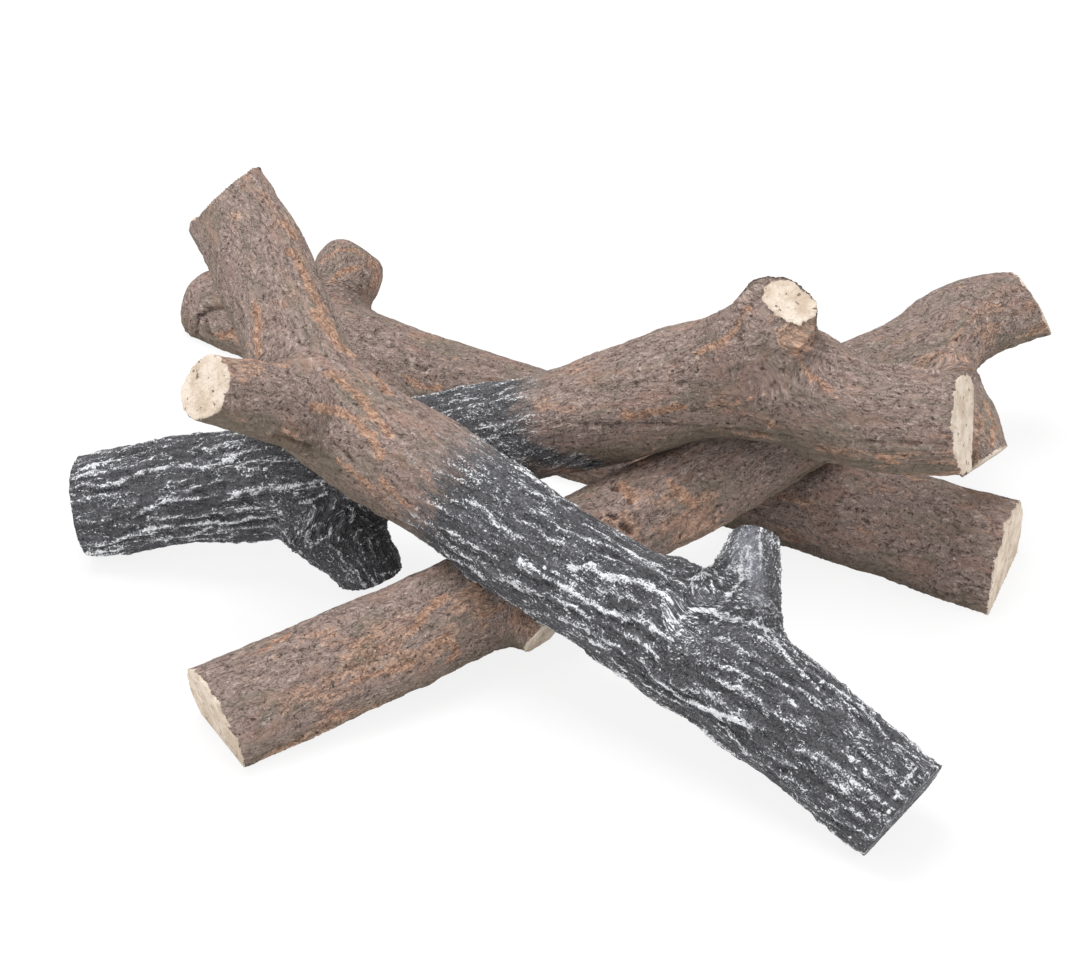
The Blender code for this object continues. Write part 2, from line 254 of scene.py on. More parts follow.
class Skin:
    """A log's fine skin: its points, the grain under them, and the marks laid on it so far.

    Each saw cut has its place and the way it faces, as the log lies in its mould, and a reach.
    """

    def __init__(self, name, matrix, limbs, cuts, back):
        self.name = name
        self.turn = np.array(matrix)[:3, :3]
        self.butt = np.array(matrix)[:3, 3]
        facing = matrix.to_3x3()
        self.cuts = [
            flat_of(name, matrix @ Vector(place), facing @ Vector(normal), reach)
            for place, normal, reach in cuts
        ]
        self.mesh, points = fine_skin(name)
        self.pairs = edges_of(self.mesh)
        self.back = flat_of(name, Vector(self.butt), facing @ Vector((0, 0, -back)), 1.0)
        self.sawn = np.max([self.on_flat(points, *cut) for cut in self.cuts], axis=0)
        self.struck = self.on_flat(points, *self.back)
        self.points = self.smooth(points)
        self.find_grain(limbs)
        self.tree = tree_of(self.points.tolist(), self.mesh)
        self.marks = {}

    def on_flat(self, points, middle, normal, reach):
        """Which points lie on a flat face, from 0 to 1."""
        off = np.abs((points - middle) @ normal)
        near = np.linalg.norm(points - middle, axis=1) < reach
        return (1 - eased(off, 0.5 * FLAT_NEAR, FLAT_NEAR)) * near

    def smooth(self, points):
        """Takes the facets of the solid off the skin, and keeps its flat faces flat."""
        kept = np.maximum(self.sawn, self.struck)[:, None]
        start = points
        for _ in range(FACET_ROUNDS):
            points = kept * start + (1 - kept) * smoothed(points, self.pairs, times=2)
        return points

    def find_grain(self, limbs):
        """Works out the grain along the trunk and the limbs, and blends it where they meet."""
        self.mould = (self.points - self.butt) @ self.turn
        trunk = limbs[0]
        start = np.array((trunk[0, 0], 0, 0))
        found = []
        for line in limbs:
            origin = start if line is trunk else grain_of(line[:1, :3], trunk, start)[0][0]
            grain, out, share_out = grain_of(self.mould, line, origin)
            if line is not trunk:
                # Near its root a limb lies inside the trunk, and the trunk's grain shows there.
                risen = (grain[:, 0] - origin[0]) / trunk[0, 3]
                share_out = share_out + 1.5 * (1 - eased(risen, 0.35, 0.95))
            found.append((grain, out, share_out))
        outs = np.stack([share_out for _, _, share_out in found], 1)
        weights = np.exp(-LIMB_PULL * (outs - outs.min(1, keepdims=True)))
        weights = smoothed(weights, self.pairs, LIMB_ROUNDS)
        weights = weights / weights.sum(1, keepdims=True)
        grain = sum(weights[:, i, None] * grain for i, (grain, _, _) in enumerate(found))
        out = sum(weights[:, i, None] * out for i, (_, out, _) in enumerate(found)) @ self.turn.T
        self.grain = smoothed(grain, self.pairs, GRAIN_ROUNDS)
        self.out = smoothed(out, self.pairs, GRAIN_ROUNDS)
        self.ragged = grained(self.grain, *RAGGED_CELL, seed=97.0, octaves=2)
        self.core = eased(outs.min(1), 0.3, 0.8)
        self.weights = weights

    def fork(self, index):
        """How much a point lies where a limb leaves the trunk, from 0 to 1."""
        return np.clip(5 * self.weights[:, index] * self.weights[:, 0], 0, 1)

    def stroke(self, pixels, width, softness=0.5, ragged=0.0010):
        """A mark with ragged edges along a line of the photograph's pixels, from 0 to 1."""
        places = [seen(self.tree, u, v) for u, v in pixels]
        places = np.array([place[:] for place in places if place])
        near = np.full(len(self.points), np.inf)
        for start, end in zip(places[:-1], places[1:]):
            run = end - start
            share = np.clip((self.points - start) @ run / (run @ run), 0, 1)
            away = np.linalg.norm(self.points - start - share[:, None] * run, axis=1)
            near = np.minimum(near, away)
        return 1 - eased(near + ragged * self.ragged, width * softness, width)

    def glaze(self, strokes):
        """Lays rust-coloured glaze along strokes, each a width in metres and its pixels."""
        for width, pixels in strokes:
            laid = self.stroke(pixels, width, softness=0.45, ragged=0.0020)
            self.marks["rust"] = np.maximum(self.marks["rust"], laid)

    def drawn(self, strokes):
        """Crests along strokes, each a width in metres and its pixels, from 0 to 1."""
        lines = [self.stroke(pixels, width, softness=0.15, ragged=0.0014) for width, pixels in strokes]
        return np.max(lines, axis=0)

    def carved(self, strokes):
        """The height that strokes add, each a rise and a width in metres and its pixels."""
        return sum(
            rise * self.stroke(pixels, width, softness=0.1, ragged=0.0006)
            for rise, width, pixels in strokes
        )

    def rub(self, width, pixels):
        """Lays a painted highlight along a line of the photograph's pixels, on a sharp edge."""
        rubbed = self.stroke(pixels, width, softness=0.2)
        self.marks["crest"] = np.maximum(self.marks["crest"], rubbed)

    def paint_over(self, index, radius, kept):
        """Paints over the rim of one saw cut and wears it down, except around the kept pixels."""
        bare = self.stroke(kept, radius, softness=0.8, ragged=0.0016)
        rim = self.on_flat(self.points, *self.cuts[index]) * (1 - bare)
        self.marks["cut"] *= 1 - rim
        self.points = self.points - RIM_WEAR * rim[:, None] * self.cuts[index][1]

    def clearance(self):
        """How far the skin may rise before it would touch another log or its bark."""
        free = np.full(len(self.points), np.inf)
        for other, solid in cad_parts.items():
            if other == self.name:
                continue
            tree = tree_of([vertex.co for vertex in solid.data.vertices], solid.data)
            low, high = (np.array(corner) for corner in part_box(other))
            above = self.points > low - NEIGHBOUR_REACH
            below = self.points < high + NEIGHBOUR_REACH
            close = np.all(above & below, axis=1)
            for index in np.nonzero(close)[0]:
                point = Vector(self.points[index])
                hit, normal, _, away = tree.find_nearest(point, NEIGHBOUR_REACH)
                if hit:
                    away = away if (point - hit).dot(normal) > 0 else -away
                    free[index] = min(free[index], 0.5 * away - PAINT_GAP)
        return free

    def raise_by(self, height):
        """Moves the skin out by a height, and keeps its flats flat and off its neighbours."""
        height = np.minimum(height * self.core, self.clearance())
        push = self.out * height[:, None]
        for middle, normal, reach in self.cuts + [self.back]:
            off = np.abs((self.points - middle) @ normal)
            near = np.linalg.norm(self.points - middle, axis=1) < reach
            hold = (1 - eased(off, FLAT_NEAR, 2.5 * FLAT_NEAR)) * near
            push -= (hold * (push @ normal))[:, None] * normal
        self.points = self.points + push
        self.points[:, 2] = np.maximum(self.points[:, 2], 0.0)

    def finished(self, material, body):
        """The piece: the skin as an object, with its marks as attributes."""
        self.mesh.vertices.foreach_set("co", self.points.ravel())
        self.mesh.name = self.name + "_casting"
        for name, values in self.marks.items():
            mark = self.mesh.attributes.new(name, "FLOAT", "POINT")
            # Crest runs below nought in deep pits and carvings, which darkens their painted shade.
            mark.data.foreach_set("value", np.clip(values, -1, 1).astype(np.float32))
        grain = self.mesh.attributes.new("grain", "FLOAT_VECTOR", "POINT")
        grain.data.foreach_set("vector", self.grain.ravel().astype(np.float32))
        self.mesh.materials.clear()
        self.mesh.materials.append(material)
        self.mesh.shade_smooth()
        piece = bpy.data.objects.new(self.name + "_casting", self.mesh)
        bpy.context.scene.collection.objects.link(piece)
        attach(piece, body)
        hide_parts(self.name)


# Each form of the worn bark has the length and width of its cells, and how high or deep it is.
SWELL_CELL = (0.070, 0.022)
SWELL_RISE = 0.0009
LUMP_CELL = (0.016, 0.0085)
LUMP_RISE = 0.0005
WRINKLE_CELL = (0.0100, 0.0034)
WRINKLE_RISE = 0.0005
CREASE_CELL = (0.090, 0.013)
CREASE_SHARE = 0.050
CREASED_PATCH = (0.060, 0.030)
CREASE_DEPTH = 0.0008
PIT_CELL = (0.0044, 0.0036)
PITTED_PATCH = (0.040, 0.025)
PIT_DEPTH = 0.0010


def worn_bark(grain):
    """The height of worn bark over its grain: swellings, wrinkles, creases and pits."""
    swell = grained(grain, *SWELL_CELL, seed=2.0, octaves=2)
    lumps = grained(grain, *LUMP_CELL, seed=9.0, octaves=2)
    wrinkle = grained(grain, *WRINKLE_CELL, seed=7.0, octaves=3, rough=0.6)
    crease = lined(grained(grain, *CREASE_CELL, seed=31.0), CREASE_SHARE)
    crease = crease * eased(grained(grain, *CREASED_PATCH, seed=3.0), -0.05, 0.30)
    pit = eased(grained(grain, *PIT_CELL, seed=51.0), 0.34, 0.50)
    pit = pit * eased(grained(grain, *PITTED_PATCH, seed=13.0), -0.10, 0.30)
    raised = SWELL_RISE * swell + LUMP_RISE * lumps + WRINKLE_RISE * wrinkle
    return raised - CREASE_DEPTH * crease - PIT_DEPTH * pit


CREST_SPAN = 0.0020
CREST_ROUNDS = 24
CUT_ROUNDS = 30
RUST_CELL = (0.030, 0.013)
RUSTY_PATCH = (0.110, 0.050)
MOST_RUST = 0.60


def brown_marks(skin, height):
    """Marks a brown skin's crests for painted shade and highlight, its rust glaze, painted olive shade
    facing down, and saw cuts.
    """
    around = smoothed(height, skin.pairs, CREST_ROUNDS)
    # Crests: the paints lay painted shade in hollows and a painted highlight where the bark stands
    # out.
    skin.marks["crest"] = 0.5 + (height - around) / CREST_SPAN
    streak = grained(skin.grain, *RUST_CELL, seed=41.0, octaves=3, rough=0.8)
    patch = grained(skin.grain, *RUSTY_PATCH, seed=61.0)
    skin.marks["rust"] = MOST_RUST * eased(streak + 1.1 * patch, 0.10, 0.80)
    # Sides that face down get a painted olive shade.
    skin.marks["moss"] = eased(-skin.out[:, 2], -0.15, 0.55)
    skin.marks["cut"] = smoothed(skin.sawn, skin.pairs, CUT_ROUNDS)


LIP_RISE = 0.0011
LIP_CELL = (0.014, 0.014)


def lip(skin):
    """The thin broken lip that the mould's edge leaves around the flat back."""
    rim = smoothed(skin.struck, skin.pairs, times=4)
    broken = eased(grained(skin.grain, *LIP_CELL, seed=71.0, octaves=2), -0.35, 0.35)
    return LIP_RISE * 4 * rim * (1 - rim) * broken * (1 - skin.sawn)


class Graph:
    """Adds shader nodes to a node tree."""

    def __init__(self, tree):
        self.tree = tree

    def node(self, kind, inputs=(), **settings):
        """A node with its settings, and its inputs as values or links."""
        made = self.tree.nodes.new(kind)
        for key, value in settings.items():
            setattr(made, key, value)
        for name, value in dict(inputs).items():
            if isinstance(value, bpy.types.NodeSocket):
                self.tree.links.new(value, made.inputs[name])
            else:
                made.inputs[name].default_value = value
        return made

    def maths(self, operation, first, second):
        """One sum on two values."""
        return self.node("ShaderNodeMath", {0: first, 1: second}, operation=operation).outputs[0]

    def total(self, *parts):
        """The sum of parts, each a value with its weight."""
        result = 0.0
        for value, weight in parts:
            inputs = {0: value, 1: weight, 2: result}
            result = self.node("ShaderNodeMath", inputs, operation="MULTIPLY_ADD").outputs[0]
        return result

    def stretched(self, vector, along):
        """The grain with its length scaled, so that a pattern on it is drawn out along the log."""
        factors = {0: vector, 1: (along, 1.0, 1.0)}
        return self.node("ShaderNodeVectorMath", factors, operation="MULTIPLY").outputs[0]

    def speckle(self, vector, cell, detail=3.0, rough=0.55, twist=0.0):
        """A noise over the grain with cells of a size in metres, from about 0 to 1."""
        inputs = {"Vector": vector, "Scale": 1 / cell, "Detail": detail, "Roughness": rough}
        inputs["Distortion"] = twist
        return self.node("ShaderNodeTexNoise", inputs).outputs[0]

    def ridges(self, vector, cell, detail=2.0, rough=0.5, twist=0.0, width=0.12):
        """Thin lines that wander through a noise: 1 on a line, and 0 away from it."""
        off = self.maths("SUBTRACT", self.speckle(vector, cell, detail, rough, twist), 0.5)
        return self.step(self.maths("ABSOLUTE", off, 0.0), width, 0.0)

    def step(self, value, low, high, low_out=0.0, high_out=1.0):
        """A smooth step of a value."""
        turned = low > high
        inputs = {"Value": value, "From Min": min(low, high), "From Max": max(low, high)}
        inputs["To Min"] = high_out if turned else low_out
        inputs["To Max"] = low_out if turned else high_out
        return self.node("ShaderNodeMapRange", inputs, interpolation_type="SMOOTHSTEP").outputs[0]

    def mix(self, factor, first, second):
        """A share of the second colour over the first."""
        inputs = {0: factor, 6: first, 7: second}
        return self.node("ShaderNodeMix", inputs, data_type="RGBA").outputs[2]

    def blend(self, factor, first, second):
        """A share of the second value over the first."""
        return self.node("ShaderNodeMix", {0: factor, 2: first, 3: second}).outputs[0]

    def mark(self, name, output="Fac"):
        """A mark that the skin carries as an attribute."""
        return self.node("ShaderNodeAttribute", attribute_name=name).outputs[output]


def paint(red, green, blue):
    """A colour as it looks on a screen, from 0 to 255 each, as a shader's linear colour."""
    return tuple(((part / 255 + 0.055) / 1.055) ** 2.4 for part in (red, green, blue)) + (1.0,)


def effect(name, *inputs):
    """A new shader group that puts out a paint's colour, roughness and height."""
    group = bpy.data.node_groups.new(name, "ShaderNodeTree")
    group.interface.new_socket("Grain", in_out="INPUT", socket_type="NodeSocketVector")
    for socket in inputs:
        group.interface.new_socket(socket, in_out="INPUT", socket_type="NodeSocketFloat")
    for socket, kind in (("Color", "Color"), ("Roughness", "Float"), ("Height", "Float")):
        group.interface.new_socket(socket, in_out="OUTPUT", socket_type="NodeSocket" + kind)
    return group, Graph(group), group.nodes.new("NodeGroupInput").outputs


def give(group, color, roughness, height):
    """Links a paint's results to its group's outputs."""
    result = group.nodes.new("NodeGroupOutput").inputs
    for name, value in (("Color", color), ("Roughness", roughness), ("Height", height)):
        group.links.new(value, result[name])


HOLLOW_BROWN = paint(84, 70, 65)
BARK_BROWN = paint(144, 126, 118)
CREST_BROWN = paint(190, 174, 166)
OLIVE_BROWN = paint(118, 112, 96)
PINK_BROWN = paint(160, 128, 114)
MOSS_BROWN = paint(104, 95, 79)
DEEP_RUST = paint(140, 104, 84)
PALE_RUST = paint(202, 163, 137)
PIT_BROWN = paint(50, 40, 37)
CHALK = paint(205, 196, 189)


def brown_bark_paint():
    """Brown paint: painted shade in hollows, painted highlight on crests, a rust glaze, and painted
    olive shade on downward sides.
    """
    group, graph, given = effect("brown bark paint", "Crest", "Rust", "Moss")
    grain = given["Grain"]
    along = graph.stretched(grain, 0.35)
    olive = graph.speckle(along, 0.017, detail=3.0, rough=0.55, twist=0.4)
    pink = graph.speckle(along, 0.011, detail=3.0, rough=0.6, twist=0.4)
    wrinkle = graph.speckle(along, 0.0034, detail=3.0, rough=0.6, twist=0.8)
    fine = graph.stretched(grain, 0.34)
    fibre = graph.speckle(fine, 0.0018, detail=2.0, rough=0.6, twist=0.8)
    short = graph.stretched(grain, 0.7)
    crust = graph.speckle(short, 0.0023, detail=3.0, rough=0.65, twist=0.5)
    torn = graph.stretched(grain, 0.60)
    crack = graph.ridges(torn, 0.0060, detail=3.0, rough=0.65, twist=0.9, width=0.050)
    grit = graph.speckle(grain, 0.0013, detail=1.0, rough=0.6)

    # Painted shade and highlight: the brown is darker in hollows and cracks and paler where the bark
    # stands out.
    raised = ((given["Crest"], 0.5), (wrinkle, 0.6), (fibre, 1.0), (crust, 1.2), (grit, 1.0))
    shade = graph.total(*raised, (crack, -0.26))
    tone = graph.mix(graph.step(shade, 1.55, 2.15), HOLLOW_BROWN, BARK_BROWN)
    tone = graph.mix(graph.step(shade, 2.15, 2.75), tone, CREST_BROWN)

    # Patches of other browns lie over it, and the sides that face down get a painted olive shade.
    tone = graph.mix(graph.step(olive, 0.48, 0.64, 0.0, 0.42), tone, OLIVE_BROWN)
    tone = graph.mix(graph.step(pink, 0.50, 0.66, 0.0, 0.45), tone, PINK_BROWN)
    tone = graph.mix(graph.maths("MULTIPLY", given["Moss"], 0.60), tone, MOSS_BROWN)

    # The rust-coloured glaze catches on the crests, with painted shade in its hollows and a painted
    # highlight on its crests.
    rust = graph.mix(graph.step(shade, 1.75, 2.55), DEEP_RUST, PALE_RUST)
    glaze = graph.total((given["Rust"], 1.0), (given["Crest"], 0.3), (wrinkle, 1.3), (crust, 1.2))
    tone = graph.mix(graph.step(glaze, 1.50, 2.40, 0.0, 0.80), tone, rust)

    # Small pits get painted shade, and flecks of pale ceramic show in chalky patches.
    pit = graph.step(graph.speckle(grain, 0.0025, detail=0.0, rough=0.5), 0.24, 0.17)
    tone = graph.mix(graph.maths("MULTIPLY", pit, 0.75), tone, PIT_BROWN)
    chalky = graph.step(graph.speckle(grain, 0.034, detail=1.0, rough=0.5), 0.52, 0.70)
    fleck = graph.step(graph.speckle(grain, 0.0015, detail=0.0, rough=0.5), 0.76, 0.83)
    tone = graph.mix(graph.maths("MULTIPLY", fleck, chalky), tone, CHALK)

    sunken = ((crack, -0.30), (pit, -0.6))
    height = graph.total((wrinkle, 0.7), (fibre, 0.6), (crust, 1.1), (grit, 0.4), *sunken)
    give(group, tone, graph.step(wrinkle, 0.3, 0.7, 0.93, 0.80), height)
    return group


SAWN_CREAM = paint(190, 172, 153)
PALE_CREAM = paint(216, 202, 187)
GRIT_CREAM = paint(160, 141, 121)
AIR_HOLE = paint(112, 94, 78)


def bare_ceramic():
    """Unpainted ceramic where the saw has cut it: cream, with fine specks and small air holes in
    painted shade.
    """
    group, graph, given = effect("bare ceramic")
    grain = given["Grain"]
    cloud = graph.speckle(grain, 0.013, detail=4.0, rough=0.6, twist=0.3)
    lumps = graph.speckle(grain, 0.0045, detail=3.0, rough=0.6, twist=0.3)
    grit = graph.speckle(grain, 0.0014, detail=3.0, rough=0.6)
    tone = graph.mix(graph.step(cloud, 0.35, 0.65), SAWN_CREAM, PALE_CREAM)
    tone = graph.mix(graph.step(grit, 0.40, 0.28, 0.0, 0.55), tone, GRIT_CREAM)
    # Air holes get painted shade.
    hole = graph.step(graph.speckle(grain, 0.0036, detail=1.0, rough=0.5), 0.32, 0.26)
    tone = graph.mix(graph.maths("MULTIPLY", hole, 0.8), tone, AIR_HOLE)
    height = graph.total((cloud, 1.4), (lumps, 1.3), (grit, 0.4), (hole, -0.9))
    give(group, tone, graph.step(grit, 0.2, 0.8, 0.97, 0.88), height)
    return group


BROWN_BARK_PAINT = brown_bark_paint()
BARE_CERAMIC = bare_ceramic()
BUMP_DEPTH = 0.0016


def surface(name, paints, masks):
    """A material of paints, each laid over those before it by its mask."""
    material = bpy.data.materials.new(name)
    material.use_nodes = True
    graph = Graph(material.node_tree)
    grain = graph.mark("grain", "Vector")
    color, roughness, height = None, None, None
    for group, mask in zip(paints, masks):
        made = graph.node("ShaderNodeGroup", node_tree=group)
        for socket in made.inputs:
            source = grain if socket.name == "Grain" else graph.mark(socket.name.lower())
            graph.tree.links.new(source, socket)
        if mask is None:
            color, roughness, height = made.outputs
            continue
        share = mask(graph, grain)
        color = graph.mix(share, color, made.outputs["Color"])
        roughness = graph.blend(share, roughness, made.outputs["Roughness"])
        height = graph.blend(share, height, made.outputs["Height"])
    shader = graph.tree.nodes["Principled BSDF"]
    bump = graph.node("ShaderNodeBump", {"Strength": 1.0, "Distance": BUMP_DEPTH, "Height": height})
    graph.tree.links.new(color, shader.inputs["Base Color"])
    graph.tree.links.new(roughness, shader.inputs["Roughness"])
    graph.tree.links.new(bump.outputs[0], shader.inputs["Normal"])
    shader.inputs["Specular IOR Level"].default_value = 0.3
    return material


def sawn_mask(graph, grain):
    """Where the paint stops at a saw cut, with a chipped edge."""
    chips = graph.speckle(grain, 0.0050, detail=4.0, rough=0.65)
    tears = graph.speckle(grain, 0.0140, detail=2.0, rough=0.5)
    near = graph.step(graph.mark("cut"), 0.06, 0.22)
    bare = graph.step(graph.total((graph.mark("cut"), 1.7), (chips, 1.7), (tears, 1.4)), 2.40, 2.50)
    return graph.maths("MULTIPLY", near, bare)


brown_bark = surface("painted brown bark", (BROWN_BARK_PAINT, BARE_CERAMIC), (None, sawn_mask))

REAR_LENGTH = 0.620
REAR_RADIUS = 0.035
REAR_BACK = 0.016
REAR_LIE = lie((0.2622, -0.0360, 0.0160), 149.8, 0.0, 0.0)
rear_trunk_shares = (
    (-0.06, -0.001, 0, 1.15),
    (0.11, -0.004, 0, 1.08),
    (0.34, -0.003, 0, 1.00),
    (0.60, 0.000, 0, 0.99),
    (0.79, -0.015, 0, 0.98),
    (0.90, -0.028, -0.04, 0.92),
    (0.96, -0.031, -0.06, 0.88),
    (1.00, -0.029, -0.08, 0.68),
)
rear_knob_shares = (
    (0.82, -0.015, 0.10, 0.76),
    (0.822, -0.060, 0.70, 0.64),
    (0.825, -0.091, 1.08, 0.74),
    (0.82, -0.108, 1.33, 0.52),
)
rear_limbs = [limb(rows, REAR_LENGTH, REAR_RADIUS) for rows in (rear_trunk_shares, rear_knob_shares)]
rear_cuts = (((-0.0025, 0, 0), (-0.987, -0.157, -0.03), 0.06),)
rear = Skin("rear_log", REAR_LIE, rear_limbs, rear_cuts, REAR_BACK)

rear_rust_strokes = (
    (0.0045, ((218, 337), (235, 334), (247, 345))),
    (0.0022, ((322, 262), (335, 252), (352, 250), (366, 257))),
    (0.0022, ((330, 282), (344, 270), (358, 268))),
    (0.0026, ((372, 262), (380, 280), (374, 297))),
    (0.0030, ((405, 376), (418, 386), (440, 388))),
)
rear_carving = (
    (0.0018, 0.0034, ((191, 334), (193, 314), (206, 303), (230, 301))),
    (-0.0024, 0.0028, ((197, 334), (198, 318), (209, 309), (228, 306))),
    (-0.0022, 0.0040, ((205, 320), (209, 334))),
    (-0.0012, 0.0018, ((213, 338), (232, 331), (246, 335))),
    (-0.0007, 0.0024, ((325, 277), (338, 263), (356, 261), (371, 272))),
    (-0.0032, 0.0036, ((416, 366), (424, 369))),
)
rear_height = worn_bark(rear.grain) + lip(rear) + rear.carved(rear_carving)
brown_marks(rear, rear_height)
rear.glaze(rear_rust_strokes)
rear.raise_by(rear_height)
rear.finished(brown_bark, "rear_log")


# Cross log: the same casting and paint. It stands on its sawn butt at the front left and leans
# on the rear log, and forks towards its far end. A small broken stub shows under its middle.

CROSS_LENGTH = 0.526
CROSS_RADIUS = 0.032
CROSS_BACK = 0.015
CROSS_LIE = lie((-0.2031, -0.1900, 0.0157), 34.2, 7.16, 0.0)
cross_trunk_shares = (
    (-0.07, 0.001, 0, 1.07),
    (0.09, -0.012, 0, 1.05),
    (0.30, -0.023, 0, 1.02),
    (0.50, -0.018, 0, 0.98),
    (0.70, -0.012, 0, 0.97),
    (0.88, 0.002, 0, 1.04),
    (0.99, 0.000, -0.02, 1.00),
    (1.06, 0.025, -0.04, 0.93),
    (1.13, 0.018, -0.08, 0.85),
    (1.18, -0.002, -0.12, 0.70),
    (1.24, -0.016, -0.12, 0.60),
)
cross_branch_shares = (
    (0.975, -0.03, -0.05, 0.88),
    (0.947, -0.13, -0.12, 0.63),
    (0.911, -0.20, -0.12, 0.53),
    (0.881, -0.26, -0.12, 0.50),
)
cross_stub_shares = (
    (0.330, -0.035, -0.08, 0.58),
    (0.345, -0.090, -0.10, 0.48),
    (0.350, -0.150, -0.10, 0.44),
)
cross_limbs = [
    limb(rows, CROSS_LENGTH, CROSS_RADIUS)
    for rows in (cross_trunk_shares, cross_branch_shares, cross_stub_shares)
]
cross_cuts = (
    ((-0.0058, 0, 0), (-0.99, 0.07, -0.10), 0.06),
    ((0.613, 0.0016, 0), (0.91, -0.25, 0.33), 0.05),
    ((0.481, -0.108, 0), (0.08, -0.75, -0.65), 0.04),
    ((0.184, -0.062, 0), (0.10, -0.85, -0.45), 0.03),
)
cross = Skin("cross_log", CROSS_LIE, cross_limbs, cross_cuts, CROSS_BACK)
cross_rust_strokes = (
    (0.0050, ((602, 476), (620, 484), (634, 500))),
    (0.0050, ((672, 484), (684, 496), (694, 506))),
    (0.0035, ((932, 285), (916, 300), (908, 318))),
    (0.0024, ((985, 402), (995, 425), (992, 446))),
    (0.0036, ((446, 596), (432, 606), (418, 622), (408, 634))),
    (0.0036, ((437, 642), (450, 640), (456, 652), (448, 662))),
    (0.0030, ((350, 682), (380, 672), (412, 664))),
    (0.0030, ((262, 650), (275, 642), (287, 636))),
    (0.0028, ((335, 716), (352, 711))),
)
cross_carving = (
    (-0.0032, 0.0028, ((611, 486), (618, 489))),
    (-0.0026, 0.0022, ((604, 477), (608, 480))),
    (-0.0034, 0.0036, ((622, 525), (630, 532))),
    (-0.0026, 0.0024, ((610, 515), (614, 518))),
    (-0.0022, 0.0022, ((628, 500), (631, 503))),
)
cross_height = worn_bark(cross.grain) + lip(cross) + cross.carved(cross_carving)
brown_marks(cross, cross_height)
cross.glaze(cross_rust_strokes)
cross.raise_by(cross_height)
cross.finished(brown_bark, "cross_log")


# Bent log: cast from a limb that fire has charred from its first end to its middle, with deep
# furrowed bark there, and brown from there to its sawn elbow. It stands on its charred end and
# on a broken leg, and a sawn stub stands up at the elbow.

# Ridges run along charred bark in rows. They wander a little, and break off after a length.
RIDGE_SPACING = 0.0088
RIDGE_LENGTH = 0.034
RIDGE_RISE = 0.0014
SLOW_WANDER_CELL = (0.050, 0.024)
SLOW_WANDER = 0.0060
QUICK_WANDER_CELL = (0.012, 0.008)
QUICK_WANDER = 0.0030

# Over and between them are knots where limbs fork, small ridges, crinkles and long swellings.
KNOT_CELL = (0.0105, 0.0090)
SMALL_RIDGE_CELL = (0.017, 0.0050)
SMALL_RIDGE_RISE = 0.0006
CRINKLE_CELL = (0.0062, 0.0032)
CRINKLE_RISE = 0.0011
LONG_SWELL_CELL = (0.045, 0.017)
LONG_SWELL_RISE = 0.0010


def charred_bark(grain, radius, skew, knotty):
    """How far charred bark stands out over its grain, and how much of it is a thin raised edge."""
    slow = SLOW_WANDER * grained(grain, *SLOW_WANDER_CELL, seed=11.0)
    quick = QUICK_WANDER * grained(grain, *QUICK_WANDER_CELL, seed=37.0, octaves=2)
    wander = slow + quick
    around = radius * np.arctan2(grain[:, 1], grain[:, 2]) + skew * grain[:, 0] + wander
    row = np.round(around / RIDGE_SPACING)
    off = around / RIDGE_SPACING - row
    breaks = np.stack([grain[:, 0] / RIDGE_LENGTH, 3.7 * row, 0 * row], 1)
    shown = eased(sampled(breaks, noise.noise), -0.30, 0.25)
    ridge = lined(off, 0.26) * shown
    edge = lined(off, 0.12) * shown
    knots = grained(grain, *KNOT_CELL, seed=5.0, octaves=2)
    edge = (1 - knotty) * edge + knotty * lined(knots, 0.09)
    ridge = (1 - knotty) * ridge + knotty * lined(knots, 0.16)
    small = lined(grained(grain, *SMALL_RIDGE_CELL, seed=17.0), 0.09)
    crinkle = grained(grain, *CRINKLE_CELL, seed=23.0, octaves=2, rough=0.6)
    swell = grained(grain, *LONG_SWELL_CELL, seed=29.0, octaves=2)
    roughness = (SMALL_RIDGE_RISE * small + CRINKLE_RISE * crinkle) * (0.35 + 0.65 * ridge)
    height = RIDGE_RISE * ridge + roughness + LONG_SWELL_RISE * swell
    return height, np.clip(edge + 0.45 * small, 0, 1)


CHARRED_CREST_SPAN = 0.0036
CHARRED_CREST_ROUNDS = 40
ASH_RISE = 0.0010


def burnt_marks(skin, worn, charred, crest, burnt):
    """Blends worn and charred bark by how burnt the log is, and marks the skin for its paints."""
    brown_marks(skin, worn)
    around = smoothed(charred, skin.pairs, CHARRED_CREST_ROUNDS)
    shown = 0.45 + (charred - around) / CHARRED_CREST_SPAN
    skin.marks["crest"] = (1 - burnt) * skin.marks["crest"] + burnt * shown
    skin.marks["cut"] *= 1 - burnt
    skin.marks["char"] = burnt
    skin.marks["ash"] = crest * (1 - skin.struck)
    skin.marks["dust"] = np.zeros(len(burnt))
    return (1 - burnt) * worn + burnt * charred


SOOT = paint(38, 38, 40)
CHARCOAL = paint(84, 84, 87)
PALE_CHARCOAL = paint(134, 134, 138)
GREY_ASH = paint(156, 157, 162)
WHITE_ASH = paint(243, 244, 247)
LILAC_DUST = paint(168, 168, 180)


